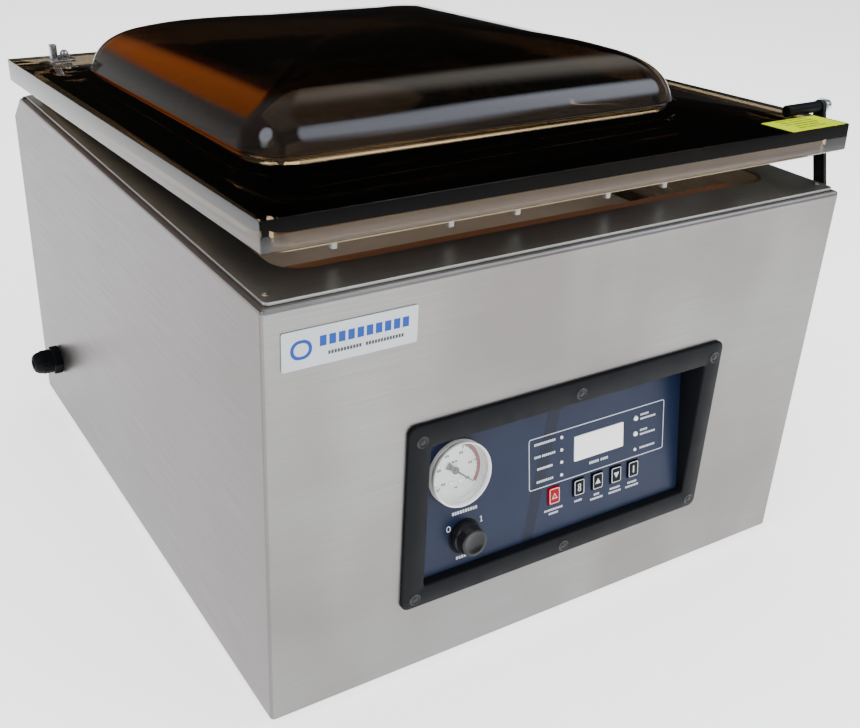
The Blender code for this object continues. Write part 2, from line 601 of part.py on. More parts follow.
make_cabinet()
make_chamber()
make_lid()
make_hinges()
make_latch()
make_controls()
make_gauge()
make_gland()
make_pump_set()
make_name_label()
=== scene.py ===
"""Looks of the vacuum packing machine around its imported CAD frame, in metres: x right, y back, z up."""

import json
import math

import bmesh
import bpy
from mathutils import Matrix, Vector


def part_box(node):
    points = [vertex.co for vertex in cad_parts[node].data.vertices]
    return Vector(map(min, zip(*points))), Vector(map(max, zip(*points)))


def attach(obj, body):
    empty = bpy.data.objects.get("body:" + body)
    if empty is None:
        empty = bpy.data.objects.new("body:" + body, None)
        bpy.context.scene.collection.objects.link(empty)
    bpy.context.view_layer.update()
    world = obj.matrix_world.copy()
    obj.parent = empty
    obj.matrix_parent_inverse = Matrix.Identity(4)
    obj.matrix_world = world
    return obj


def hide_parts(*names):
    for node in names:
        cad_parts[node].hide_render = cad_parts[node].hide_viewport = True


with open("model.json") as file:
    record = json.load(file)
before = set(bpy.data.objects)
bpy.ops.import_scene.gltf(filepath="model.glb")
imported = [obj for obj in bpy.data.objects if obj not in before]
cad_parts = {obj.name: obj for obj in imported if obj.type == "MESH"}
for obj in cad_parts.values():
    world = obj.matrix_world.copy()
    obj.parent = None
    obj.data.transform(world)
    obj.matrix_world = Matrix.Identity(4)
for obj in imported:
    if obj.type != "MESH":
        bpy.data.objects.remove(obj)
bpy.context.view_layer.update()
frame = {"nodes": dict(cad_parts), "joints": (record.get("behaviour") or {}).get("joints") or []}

NODES = frame["nodes"]
JOINTS = {joint["name"]: joint for joint in frame["joints"]}
GAP = 0.0003

# Camera: place, heading and fall in degrees, and the lens on a 36 mm sensor.
CAMERA_AT = Vector((-0.46435, -0.77342, 0.57096))
CAMERA_HEADING, CAMERA_FALL, CAMERA_ROLL = 32.491, 27.778, 2.356
CAMERA_LENS = 46.24
CAMERA_SHIFT = (0.0282, 0.0062)

# Lid frame: origin on the hinge axis, z square to the plate, y to the back.
LID_TILT = math.radians(-JOINTS["lid_hinge"]["range_deg"][0])
LID_POSE = Matrix.Translation(JOINTS["lid_hinge"]["pos_m"]) @ Matrix.Rotation(-LID_TILT, 4, "X")
LID_X, LID_FRONT, LID_REAR = 0.2359, -0.5145, 0.0296
LID_LOW, LID_HIGH = 0.0089, 0.0284
DOME_X, DOME_Y = 0.1870, (-0.4024, -0.0304)
DOME_WALL = 0.0060
# Inset from the dome's foot, height above the plate and corner radius there.
DOME_PROFILE = (
    (0.0, 0.0, 0.034), (0.002, 0.0055, 0.0325), (0.005, 0.0120, 0.030), (0.010, 0.0190, 0.026),
    (0.018, 0.0260, 0.021), (0.030, 0.0325, 0.016), (0.045, 0.0375, 0.014), (0.065, 0.0425, 0.014),
    (0.095, 0.0470, 0.016), (0.130, 0.0502, 0.018), (0.160, 0.0515, 0.016), (0.180, 0.0517, 0.005),
)

# Panel frame: x right, y up the slope, z out of the panel's face.
KNOB_AT, GAUGE_AT = (-0.0830, 0.0230), (-0.0872, 0.0743)
PANEL_OUT = Vector(JOINTS["power_turn"]["axis"])
PANEL_UP = PANEL_OUT.cross(Vector((1.0, 0.0, 0.0)))
KNOB_POINT = Vector(JOINTS["power_turn"]["pos_m"])
PANEL_ORIGIN = KNOB_POINT - Vector((KNOB_AT[0], 0.0, 0.0)) - KNOB_AT[1] * PANEL_UP
PANEL_POSE = Matrix.Translation(PANEL_ORIGIN) @ Matrix((
    (1.0, PANEL_UP.x, PANEL_OUT.x), (0.0, PANEL_UP.y, PANEL_OUT.y), (0.0, PANEL_UP.z, PANEL_OUT.z),
)).to_4x4()
BUTTONS = {"stop": -0.0031, "select": 0.0204, "up": 0.0384, "down": 0.0566, "start": 0.0739}
BUTTON_V, BUTTON_SIZE = 0.0310, (0.0105, 0.0135)
BUTTON_FACE = 0.0016
DISPLAY = (0.0164, 0.0638, 0.0525, 0.0725)

# (a, b, c) of a mesh becomes (c, a, b), (a, -c, b) and (-c, -a, b) in the world.
SIDE_VIEW = Matrix(((0, 0, 1, 0), (1, 0, 0, 0), (0, 1, 0, 0), (0, 0, 0, 1)))
FRONT_VIEW = Matrix(((1, 0, 0, 0), (0, 0, -1, 0), (0, 1, 0, 0), (0, 0, 0, 1)))
LEFT_VIEW = Matrix(((0, 0, -1, 0), (-1, 0, 0, 0), (0, 1, 0, 0), (0, 0, 0, 1)))
REAR_VIEW = Matrix(((-1, 0, 0, 0), (0, 0, 1, 0), (0, 1, 0, 0), (0, 0, 0, 1)))


def move(x, y, z):
    return Matrix.Translation((x, y, z))


# ---------------------------------------------------------------- materials


class Shader:
    """A Principled material with short ways to add procedural detail."""

    def __init__(self, name, colour, roughness, metallic=0.0, **constants):
        self.material = bpy.data.materials.new(name)
        self.material.use_nodes = True
        self.tree = self.material.node_tree
        self.main = self.tree.nodes["Principled BSDF"]
        self.main.inputs["Base Color"].default_value = (*colour, 1.0)
        self.main.inputs["Roughness"].default_value = roughness
        self.main.inputs["Metallic"].default_value = metallic
        for socket, value in constants.items():
            self.main.inputs[socket.replace("_", " ")].default_value = value
        self.colour, self.roughness = colour, roughness
        self.place = self.tree.nodes.new("ShaderNodeTexCoord").outputs["Object"]

    def link(self, output, target):
        self.tree.links.new(output, target)

    def noise(self, scale, stretch=(1.0, 1.0, 1.0), detail=3.0):
        """Noise over the object, in features per metre, closer together where stretch is larger."""
        mapping = self.tree.nodes.new("ShaderNodeMapping")
        mapping.inputs["Scale"].default_value = stretch
        self.link(self.place, mapping.inputs["Vector"])
        noise = self.tree.nodes.new("ShaderNodeTexNoise")
        noise.inputs["Scale"].default_value = scale
        noise.inputs["Detail"].default_value = detail
        self.link(mapping.outputs["Vector"], noise.inputs["Vector"])
        return noise.outputs["Fac"]

    def facing_sideways(self):
        """How far the surface turns to the left or the right of the object."""
        split = self.tree.nodes.new("ShaderNodeSeparateXYZ")
        self.link(self.tree.nodes.new("ShaderNodeTexCoord").outputs["Normal"], split.inputs["Vector"])
        size = self.tree.nodes.new("ShaderNodeMath")
        size.operation = "ABSOLUTE"
        self.link(split.outputs["X"], size.inputs[0])
        return size.outputs["Value"]

    def spread(self, factor, low, high, start=0.3, end=0.7):
        """Carries a noise factor to values from low to high."""
        ranged = self.tree.nodes.new("ShaderNodeMapRange")
        ranged.inputs["From Min"].default_value = start
        ranged.inputs["From Max"].default_value = end
        ranged.inputs["To Min"].default_value = low
        ranged.inputs["To Max"].default_value = high
        self.link(factor, ranged.inputs["Value"])
        return ranged.outputs["Result"]

    def tint(self, factor, other, most=1.0, start=0.35, end=0.65):
        """Mixes the colour so far with another where factor is high."""
        mix = self.tree.nodes.new("ShaderNodeMix")
        mix.data_type = "RGBA"
        self.link(self.spread(factor, 0.0, most, start, end), mix.inputs["Factor"])
        socket = self.main.inputs["Base Color"]
        if socket.is_linked:
            self.link(socket.links[0].from_socket, mix.inputs[6])
        else:
            mix.inputs[6].default_value = (*self.colour, 1.0)
        mix.inputs[7].default_value = (*other, 1.0)
        self.link(mix.outputs[2], socket)
        return self

    def rough(self, factor, low, high):
        self.link(self.spread(factor, low, high), self.main.inputs["Roughness"])
        return self

    def bump(self, factor, depth):
        """Depth in metres of the relief that factor makes."""
        bump = self.tree.nodes.new("ShaderNodeBump")
        bump.inputs["Strength"].default_value = 1.0
        bump.inputs["Distance"].default_value = depth
        self.link(factor, bump.inputs["Height"])
        socket = self.main.inputs["Normal"]
        if socket.is_linked:
            self.link(socket.links[0].from_socket, bump.inputs["Normal"])
        self.link(bump.outputs["Normal"], socket)
        return self


def brushed(name, colour, stretch, roughness=0.34, blotch=(0.50, 0.44, 0.38), metallic=0.88, side_shade=None):
    """Sheet steel with long fine grain and broad faint tints, and a painted shade colour where it faces left
    or right.
    """
    shader = Shader(name, colour, roughness, metallic)
    grain = shader.noise(1.0, stretch, 4.0)
    shader.tint(shader.noise(4.5, (1.0, 1.0, 1.6), 2.0), blotch, 0.8, 0.38, 0.62)
    shader.tint(shader.noise(7.0, (1.3, 1.0, 0.6), 2.0), tuple(1.22 * c for c in colour), 0.7, 0.45, 0.70)
    shader.tint(grain, tuple(0.76 * c for c in colour), 0.40, 0.35, 0.70)
    # Painted shade: faces turned to the left or the right take the darker side colour.
    if side_shade:
        shader.tint(shader.facing_sideways(), side_shade, 0.85, 0.5, 0.9)
    shader.rough(grain, roughness - 0.05, roughness + 0.08)
    return shader.bump(grain, 0.000008).material


def plastic(name, colour, roughness, grain=1400.0, depth=0.00002, wear=0.25, gloss=0.5):
    """Moulded plastic with a fine texture and a slightly uneven shade."""
    shader = Shader(name, colour, roughness, Specular_IOR_Level=gloss)
    shader.tint(shader.noise(35.0), tuple(min(1.0, 1.5 * c + 0.004) for c in colour), wear)
    shader.rough(shader.noise(60.0), roughness - 0.06, roughness + 0.08)
    return shader.bump(shader.noise(grain, detail=2.0), depth).material


def bright(name, colour, roughness):
    shader = Shader(name, colour, roughness, 1.0)
    fine = shader.noise(900.0)
    shader.tint(shader.noise(120.0), tuple(0.75 * c for c in colour), 0.5)
    shader.rough(fine, roughness - 0.05, roughness + 0.10)
    return shader.bump(fine, 0.000006).material


def film(name, colour, roughness=0.35, other=None, coat=0.0, gloss=0.5):
    """Printed or painted film, faintly uneven."""
    shader = Shader(name, colour, roughness, Coat_Weight=coat, Specular_IOR_Level=gloss)
    shader.tint(shader.noise(45.0), other or tuple(0.85 * c for c in colour), 0.5)
    shader.rough(shader.noise(25.0), roughness - 0.05, roughness + 0.06)
    return shader.material


def smoke(name, colour, density, absorbs, gloss=0.5):
    """Tinted acrylic: clear at its faces, darker with the length of the way through it."""
    shader = Shader(name, colour, 0.03, Transmission_Weight=1.0, IOR=1.49, Specular_IOR_Level=gloss)
    shader.rough(shader.noise(14.0), 0.015, 0.05)
    volume = shader.tree.nodes.new("ShaderNodeVolumeAbsorption")
    volume.inputs["Color"].default_value = (*absorbs, 1.0)
    volume.inputs["Density"].default_value = density
    output = shader.tree.nodes["Material Output"]
    shader.link(volume.outputs["Volume"], output.inputs["Volume"])
    return shader.material


WALL_GRAIN, DECK_GRAIN = (16.0, 16.0, 2200.0), (16.0, 2200.0, 16.0)
# The cabinet's darker mauve colour on its left and right faces is painted shade, not a finish of the sheet.
STEEL = brushed(
    "steel_cabinet", (0.215, 0.212, 0.204), WALL_GRAIN, 0.33,
    blotch=(0.165, 0.150, 0.140), metallic=0.90, side_shade=(0.108, 0.094, 0.091),
)
DECK_STEEL = brushed("steel_deck", (0.24, 0.24, 0.23), DECK_GRAIN, 0.34, (0.19, 0.195, 0.18), 0.88)
TUB_STEEL = brushed("steel_tub", (0.55, 0.54, 0.52), (14.0, 14.0, 900.0), 0.28)
BRIGHT = bright("bright_steel", (0.66, 0.66, 0.66), 0.22)
ALUMINIUM = bright("satin_aluminium", (0.58, 0.58, 0.60), 0.36)
ACRYLIC = smoke("smoke_acrylic", (0.42, 0.34, 0.22), 30.0, (0.50, 0.40, 0.24), 0.25)
# A darker copy of the lid's acrylic for its dome: painted shade, as the lid is one sheet.
SHADED_ACRYLIC = smoke("smoke_acrylic_painted_shade", (0.125, 0.085, 0.050), 30.0, (0.50, 0.38, 0.26))
TAN = plastic("tan_silicone", (0.34, 0.27, 0.165), 0.55, 500.0, 0.00004)
RED_SILICONE = plastic("red_silicone", (0.26, 0.085, 0.04), 0.50, 700.0, 0.00003)
BLACK = plastic("black_moulding", (0.0025, 0.003, 0.004), 0.45, wear=0.1, gloss=0.08)
SATIN_BLACK = plastic("black_satin", (0.006, 0.006, 0.007), 0.30, 2200.0, 0.00001, gloss=0.25)
RUBBER = plastic("black_rubber", (0.010, 0.010, 0.010), 0.70, 500.0, 0.00006, gloss=0.2)
WHITE = plastic("white_moulding", (0.78, 0.78, 0.75), 0.42, 1800.0, 0.00001, 0.4)
POLYETHYLENE = plastic("white_polyethylene", (0.80, 0.80, 0.77), 0.55, 220.0, 0.00006)
NAVY = film("navy_film", (0.0070, 0.0125, 0.032), 0.34, (0.0090, 0.0155, 0.040), gloss=0.18)
NAVY_SWEEP = film("navy_sweep", (0.0048, 0.008, 0.020), 0.34, gloss=0.18)
PRINT_WHITE = film("white_print", (0.50, 0.52, 0.56), 0.45, gloss=0.2)
PRINT_BLACK = film("black_print", (0.02, 0.02, 0.022), 0.45)
PRINT_RED = film("red_print", (0.24, 0.0, 0.008), 0.45, (0.20, 0.0, 0.006), gloss=0.05)
PRINT_GREEN = film("green_print", (0.01, 0.26, 0.12), 0.40, gloss=0.1)
PRINT_BLUE = film("blue_print", (0.006, 0.045, 0.26), 0.40, gloss=0.2)
YELLOW = film("yellow_film", (0.44, 0.54, 0.0), 0.5, (0.40, 0.50, 0.0), gloss=0.05)
SILVER_FILM = film("silver_film", (0.42, 0.45, 0.47), 0.34, (0.36, 0.39, 0.42))
RED_KEY = plastic("red_key", (0.26, 0.0, 0.004), 0.45, wear=0.05, gloss=0.08)
DIAL_WHITE = film("dial_white", (0.90, 0.92, 0.92), 0.45)
LCD = film("display_grey", (0.80, 0.80, 0.77), 0.30, (0.74, 0.74, 0.72), 0.3)
GREEN_BOARD = film("circuit_board", (0.02, 0.16, 0.06), 0.40, (0.03, 0.22, 0.09))
CASTING = plastic("grey_casting", (0.17, 0.18, 0.19), 0.55, 300.0, 0.00015)
MOTOR_PAINT = plastic("blue_paint", (0.03, 0.09, 0.20), 0.42, 400.0, 0.00008)
GLASS = Shader("clear_glass", (0.96, 0.98, 0.97), 0.02, Transmission_Weight=1.0, IOR=1.45)
GLASS.rough(GLASS.noise(40.0), 0.01, 0.04)
WASHER = Shader("clear_washer", (0.70, 0.84, 0.80), 0.12, Transmission_Weight=0.85, IOR=1.45)
WASHER.rough(WASHER.noise(300.0), 0.08, 0.20)


def tape_material():
    """Coated glass cloth: a fine square weave under a brown film."""
    shader = Shader("brown_tape", (0.46, 0.20, 0.11), 0.42)
    weft = shader.noise(1.0, (2600.0, 90.0, 90.0))
    warp = shader.noise(1.0, (60.0, 2600.0, 2600.0))
    shader.tint(shader.noise(9.0, (1.0, 9.0, 9.0)), (0.32, 0.12, 0.06), 0.7)
    shader.tint(weft, (0.40, 0.22, 0.11), 0.3)
    return shader.bump(warp, 0.00002).bump(weft, 0.00002).material


TAPE = tape_material()

CAD_MATERIALS = {
    STEEL: ("cabinet_shell", "rear_cover"),
    DECK_STEEL: ("deck_plate",),
    TUB_STEEL: ("chamber_tub",),
    BRIGHT: (
        "base_plate", "hinge_pin_left", "hinge_pin_right", "lid_arm_left", "lid_arm_right",
        "seal_post_left", "seal_post_right", "solenoid_valve", "latch_keeper",
    ),
    ALUMINIUM: (
        "seal_bar", "lift_cylinder_left", "lift_cylinder_right", "hinge_block_left", "hinge_block_right",
    ),
    TAN: ("lid_gasket",),
    RED_SILICONE: ("counter_bar",),
    TAPE: ("seal_cover",),
    POLYETHYLENE: ("filler_plate",),
    BLACK: ("power_switch",),
    SATIN_BLACK: ("latch_bar",),
    RUBBER: ("vacuum_hose",),
    WHITE: ("motor_fan",),
    NAVY: ("control_panel",),
    GREEN_BOARD: ("control_board",),
    CASTING: ("vacuum_pump", "exhaust_filter", "transformer"),
    MOTOR_PAINT: ("pump_motor",),
}
for material, names in CAD_MATERIALS.items():
    for node_name in names:
        for material_slot in NODES[node_name].material_slots:
            material_slot.material = material

# ---------------------------------------------------------------- mesh tools


def add(name, build, material, pose, body, stands_for=(), sharp=35.0):
    """Turns the bmesh into a piece on a CAD body, smooth except across sharp edges."""
    bmesh.ops.recalc_face_normals(build, faces=build.faces)
    mesh = bpy.data.meshes.new(name)
    build.to_mesh(mesh)
    build.free()
    mesh.polygons.foreach_set("use_smooth", [True] * len(mesh.polygons))
    mesh.set_sharp_from_angle(angle=math.radians(sharp))
    for one in material if isinstance(material, tuple) else (material,):
        mesh.materials.append(one)
    made = bpy.data.objects.new(name, mesh)
    bpy.context.scene.collection.objects.link(made)
    mesh.transform(pose)
    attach(made, body)
    if stands_for:
        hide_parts(*stands_for)
    return made


def put_box(build, low, high):
    low, high = Vector(low), Vector(high)
    corners = bmesh.ops.create_cube(build, size=1.0)["verts"]
    bmesh.ops.scale(build, verts=corners, vec=high - low)
    bmesh.ops.translate(build, verts=corners, vec=(low + high) / 2)
    return corners


def put_turned(build, profile, steps=32, pose=Matrix()):
    """Adds a profile of (radius, height) turned about z. A first radius above zero makes a ring."""
    rows = []
    for radius, height in profile:
        if radius < 1e-7:
            rows.append([build.verts.new(pose @ Vector((0.0, 0.0, height)))])
            continue
        angles = [2 * math.pi * i / steps for i in range(steps)]
        spots = [Vector((radius * math.cos(a), radius * math.sin(a), height)) for a in angles]
        rows.append([build.verts.new(pose @ spot) for spot in spots])
    pairs = list(zip(rows, rows[1:]))
    if profile[0][0] > 1e-7:
        pairs.append((rows[-1], rows[0]))
    for first, second in pairs:
        for i in range(steps):
            j = (i + 1) % steps
            corners = [first[i % len(first)], first[j % len(first)]]
            corners += [second[j % len(second)], second[i % len(second)]]
            build.faces.new(list(dict.fromkeys(corners)))


def put_loft(build, rings, closed_ends=True):
    rows = [[build.verts.new(point) for point in ring] for ring in rings]
    faces = []
    for low, high in zip(rows, rows[1:]):
        for i in range(len(low)):
            j = (i + 1) % len(low)
            faces.append(build.faces.new((low[i], low[j], high[j], high[i])))
    if closed_ends:
        faces.append(build.faces.new(rows[0][::-1]))
        faces.append(build.faces.new(rows[-1]))
    return faces


def arc(centre, radius, start, stop, count):
    angles = [math.radians(start + (stop - start) * i / count) for i in range(count + 1)]
    return [(centre[0] + radius * math.cos(a), centre[1] + radius * math.sin(a)) for a in angles]


def rounded(x_range, y_range, radius, count=6):
    (x0, x1), (y0, y1) = x_range, y_range
    centres = [(x1 - radius, y0 + radius), (x1 - radius, y1 - radius)]
    centres += [(x0 + radius, y1 - radius), (x0 + radius, y0 + radius)]
    points = []
    for corner, centre in enumerate(centres):
        points += arc(centre, radius, 90.0 * corner - 90.0, 90.0 * corner, count)
    return points


def put_pad(build, x_range, y_range, low, high, radius, edge, count=6):
    """A slab with rounded corners whose upper edge is rolled over by edge."""
    steps = [(0.0, low), (0.0, high - edge)]
    steps += [(edge * (1 - math.cos(a)), high - edge * (1 - math.sin(a)))
              for a in (math.radians(30), math.radians(60), math.radians(90))]
    rings = []
    for inset, height in steps:
        ranges = ((x_range[0] + inset, x_range[1] - inset), (y_range[0] + inset, y_range[1] - inset))
        ring = rounded(*ranges, max(radius - inset, 0.00005), count)
        rings.append([(x, y, height) for x, y in ring])
    put_loft(build, rings)


def put_strip(build, outline, low, high):
    """A flat closed outline, drawn counter-clockwise, as a thin slab."""
    put_loft(build, [[(x, y, z) for x, y in outline] for z in (low, high)])


def put_band(build, outer, inner, low, high):
    """A flat ring between two outlines with the same number of points."""
    rows = []
    for points, z in ((outer, low), (outer, high), (inner, high), (inner, low)):
        rows.append([build.verts.new((x, y, z)) for x, y in points])
    for first, second in zip(rows, rows[1:] + rows[:1]):
        for i in range(len(first)):
            j = (i + 1) % len(first)
            build.faces.new((first[i], first[j], second[j], second[i]))


def put_words(build, centre, widths, height, low, high, gap=0.0007):
    """A row of words, each a run of small plain blocks, where a caption stands."""
    left = centre[0] - (sum(widths) + gap * (len(widths) - 1)) / 2
    half, between = height / 2, 0.28 * height
    for width in widths:
        count = max(1, round((width + between) / (0.95 * height)))
        pitch = (width + between) / count
        for index in range(count):
            start = left + pitch * index
            put_box(build, (start, centre[1] - half, low), (start + pitch - between, centre[1] + half, high))
        left += width + gap


def smooth_curve(points, steps):
    """A Catmull-Rom line through the points."""
    ends = [points[0], *points, points[-1]]
    made = []
    for a, b, c, d in zip(ends, ends[1:], ends[2:], ends[3:]):
        for step in range(steps):
            t = step / steps
            made.append(tuple(
                0.5 * (2 * q + (r - p) * t + (2 * p - 5 * q + 4 * r - s) * t * t
                       + (3 * q - p - 3 * r + s) * t ** 3)
                for p, q, r, s in zip(a, b, c, d)
            ))
    return made + [points[-1]]


# ---------------------------------------------------------------- lid


def lid_ring(inset, corner, height, base=None):
    """One ring of the lid, inset from the plate's edge or from the dome's foot."""
    x_half, (y_low, y_high) = base or (LID_X, (LID_FRONT, LID_REAR))
    ranges = ((-x_half + inset, x_half - inset), (y_low + inset, y_high - inset))
    return [(x, y, height) for x, y in rounded(*ranges, corner, 12)]


def make_lid():
    dome = (DOME_X, DOME_Y)
    half = (DOME_Y[1] - DOME_Y[0]) / 2
    profile = smooth_curve(DOME_PROFILE, 4)

    inner = []
    for inset, height, corner in profile[6:]:
        deeper = min(inset + DOME_WALL, 0.184)
        corner = min(corner - 0.003, 0.97 * (half - deeper))
        inner.append(lid_ring(deeper, corner, LID_HIGH + height - 0.005, dome))
    rings = inner[::-1]
    rings.append(lid_ring(0.0068, 0.0275, LID_HIGH - 0.004, dome))
    rings.append(lid_ring(0.0065, 0.0275, LID_LOW + 0.0008, dome))
    rings.append(lid_ring(0.0057, 0.0280, LID_LOW, dome))
    groove_top = LID_LOW + 0.0073
    for inset_x, corner, height in (
        (0.0212, 0.0047, LID_LOW), (0.0212, 0.0047, groove_top),
        (0.0106, 0.0123, groove_top), (0.0106, 0.0123, LID_LOW),
    ):
        x_half = LID_X - inset_x
        y_range = (LID_FRONT + inset_x + 0.0012, -0.0201 - (inset_x - 0.0106))
        rings.append(lid_ring(0.0, corner, height, (x_half, y_range)))
    plate_first = len(rings)
    for inset, corner, height in (
        (0.0008, 0.0006, LID_LOW), (0.0, 0.0012, LID_LOW + 0.0008),
        (0.0, 0.0012, LID_HIGH - 0.0008), (0.0003, 0.0010, LID_HIGH - 0.0002), (0.0009, 0.0006, LID_HIGH),
    ):
        rings.append(lid_ring(inset, corner, height))
    plate_last = len(rings)
    rings.append(lid_ring(-0.0016, 0.0335, LID_HIGH, dome))
    rings.append(lid_ring(-0.0005, 0.0325, LID_HIGH + 0.0004, dome))
    for inset, height, corner in profile[1:]:
        rings.append(lid_ring(inset, min(corner, 0.97 * (half - inset)), LID_HIGH + height, dome))
    build = bmesh.new()
    faces = put_loft(build, rings)
    per_ring = len(rings[0])
    for index, face in enumerate(faces):
        row = index // per_ring
        # The dome and the cavity under it take the darker copy, which is painted shade; the plate, groove and
        # edges take the lighter one.
        face.material_index = 0 if plate_first - 4 <= row < plate_last else 1
    add("lid_smoke", build, (ACRYLIC, SHADED_ACRYLIC), LID_POSE, "lid", ("lid",), 30.0)

    tabs = bmesh.new()
    for x in (-0.1710, -0.0870, -0.0345, 0.0428, 0.0955):
        put_pad(tabs, (x - 0.0022, x + 0.0022), (-0.0022, 0.0022), 0.0, 0.0188, 0.0010, 0.0006, 3)
    spot = LID_POSE @ move(0.0, -0.4738, LID_LOW - GAP) @ Matrix.Rotation(math.pi, 4, "X")
    add("bag_tabs", tabs, WHITE, spot, "lid")

    label = bmesh.new()
    x_range, y_range = (0.1760, 0.2325), (-0.5138, -0.4840)
    put_strip(label, rounded(x_range, y_range, 0.0006, 2), LID_HIGH + 0.00005, LID_HIGH + 0.00025)
    add("lid_label", label, YELLOW, LID_POSE, "lid")
    lines = bmesh.new()
    rows = ((0.012, 0.007, 0.010), (0.009, 0.013, 0.008), (0.006, 0.015, 0.009), (0.013, 0.009),
            (0.008, 0.011, 0.006))
    low, high = LID_HIGH + 0.0003, LID_HIGH + 0.00036
    for row, widths in enumerate(rows):
        put_words(lines, (0.2040, -0.4872 - 0.0050 * row), widths, 0.0012, low, high, 0.0016)
    add("lid_label_lines", lines, PRINT_BLACK, LID_POSE, "lid")


def make_lid_fittings():
    top = LID_HIGH + GAP
    for side, sign in (("left", -1), ("right", 1)):
        strap = bmesh.new()
        x_range = sorted((0.1850 * sign, 0.2070 * sign))
        put_pad(strap, x_range, (-0.0130, 0.0010), top, top + 0.0020, 0.0015, 0.0004, 4)
        stud_x = sorted((0.2000 * sign, 0.2062 * sign))
        put_pad(strap, stud_x, (-0.0085, -0.0023), top + 0.0019, top + 0.0150, 0.0012, 0.0008, 4)
        rivet = [(0.0, 0.0029), (0.0016, 0.0029), (0.0026, 0.0024), (0.0026, 0.0019), (0.0, 0.0019)]
        put_turned(strap, rivet, 20, move(0.1875 * sign, -0.0105, top))
        add(f"strap_{side}", strap, BRIGHT, LID_POSE, "lid", (f"lid_strap_{side}",))
        nut = bmesh.new()
        hexagon = [(0.0, 0.0034), (0.0050, 0.0034), (0.0050, 0.0004), (0.0, 0.0004)]
        put_turned(nut, hexagon, 6)
        dome = [(0.0, 0.0076)] + [(0.0040 * math.sin(a), 0.0034 + 0.0042 * math.cos(a))
                                  for a in [math.radians(15 * k) for k in range(1, 7)]]
        put_turned(nut, dome + [(0.0, 0.0034)], 24)
        put_turned(nut, [(0.0, 0.0004), (0.0058, 0.0004), (0.0058, 0.0), (0.0, 0.0)], 24)
        spot = LID_POSE @ move(0.1935 * sign, -0.0050, top + 0.0023)
        add(f"nut_{side}", nut, BRIGHT, spot, "lid", (f"cap_nut_{side}",))


def make_latch():
    low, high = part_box("latch_sleeve")
    axis = move(0.0, (low.y + high.y) / 2, (low.z + high.z) / 2) @ SIDE_VIEW
    sleeve = bmesh.new()
    r = (high.z - low.z) / 2
    profile = [(0.0, high.x), (r - 0.0003, high.x), (r, high.x - 0.0004), (r, low.x + 0.0006)]
    profile += [(r - 0.0006, low.x), (0.0026, low.x), (0.0024, low.x + 0.0012), (0.0, low.x + 0.0012)]
    put_turned(sleeve, profile, 32)
    add("latch_sleeve_round", sleeve, BLACK, axis, "lid", ("latch_sleeve",))
    low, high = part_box("latch_washer")
    head = high.x + GAP
    washer = bmesh.new()
    r = (high.z - low.z) / 2
    profile = [(0.0022, high.x), (r - 0.0004, high.x), (r, high.x - 0.0004), (r, low.x), (0.0022, low.x)]
    put_turned(washer, profile, 32)
    add("latch_washer_round", washer, WASHER.material, axis, "lid", ("latch_washer",))
    low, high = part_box("latch_bolt")
    bolt = bmesh.new()
    profile = [(0.0, high.x - 0.0016), (0.0019, high.x - 0.0016), (0.0021, high.x), (0.0032, high.x - 0.0003)]
    profile += [(0.0043, high.x - 0.0016), (0.0046, high.x - 0.0036), (0.0046, head), (0.0019, head)]
    put_turned(bolt, profile + [(0.0019, low.x), (0.0, low.x)], 32)
    add("latch_bolt_round", bolt, BRIGHT, axis, "lid", ("latch_bolt",))


# ---------------------------------------------------------------- controls


def make_bezel():
    low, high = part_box("control_bezel")
    plate_back = -0.2683
    build = bmesh.new()
    x_range, z_range = (low.x, high.x), (low.z, high.z)
    window_x, window_z = (-0.1220, 0.1217), (0.0815, 0.1950)
    deep = -high.y
    front = -low.y
    steps = (
        (x_range, z_range, 0.0060, 0.0, -plate_back), (x_range, z_range, 0.0060, 0.0, front - 0.0009),
        (x_range, z_range, 0.0060, 0.0003, front - 0.0003), (x_range, z_range, 0.0060, 0.0010, front),
        (window_x, window_z, 0.0024, -0.0012, front), (window_x, window_z, 0.0024, -0.0004, front - 0.0004),
        (window_x, window_z, 0.0020, 0.0, front - 0.0012), (window_x, window_z, 0.0020, 0.0, deep),
        (window_x, window_z, 0.0020, -0.0018, deep), (window_x, window_z, 0.0020, -0.0018, -plate_back),
    )
    rings = []
    for xs, zs, radius, inset, depth in steps:
        ring = rounded((xs[0] + inset, xs[1] - inset), (zs[0] + inset, zs[1] - inset), radius, 8)
        rings.append([(x, z, depth) for x, z in ring])
    put_loft(build, rings + rings[:1], False)
    bmesh.ops.remove_doubles(build, verts=build.verts, dist=1e-6)
    add("bezel_frame", build, BLACK, FRONT_VIEW, "cabinet", ("control_bezel",), 40.0)
    screws = bmesh.new()
    rim = [(0.0030, 0.0), (0.0036, 0.0004), (0.0042, 0.0004)]
    rim += [(0.0046, 0.0), (0.0040, -0.0004), (0.0034, -0.0004)]
    head = [(0.0, 0.0006), (0.0012, 0.0006), (0.0014, 0.0002)]
    head += [(0.0025, 0.0001), (0.0027, -0.0004), (0.0, -0.0004)]
    corners = [(x, z) for z in (0.2005, 0.0725) for x in (-0.129, 0.1300)]
    for x, z in corners + [(0.0016, 0.2025), (0.0022, 0.0720)]:
        spot = move(x, z, front)
        put_turned(screws, rim, 28, spot)
        put_turned(screws, head, 24, spot)
    add("bezel_screws", screws, SATIN_BLACK, FRONT_VIEW, "cabinet")


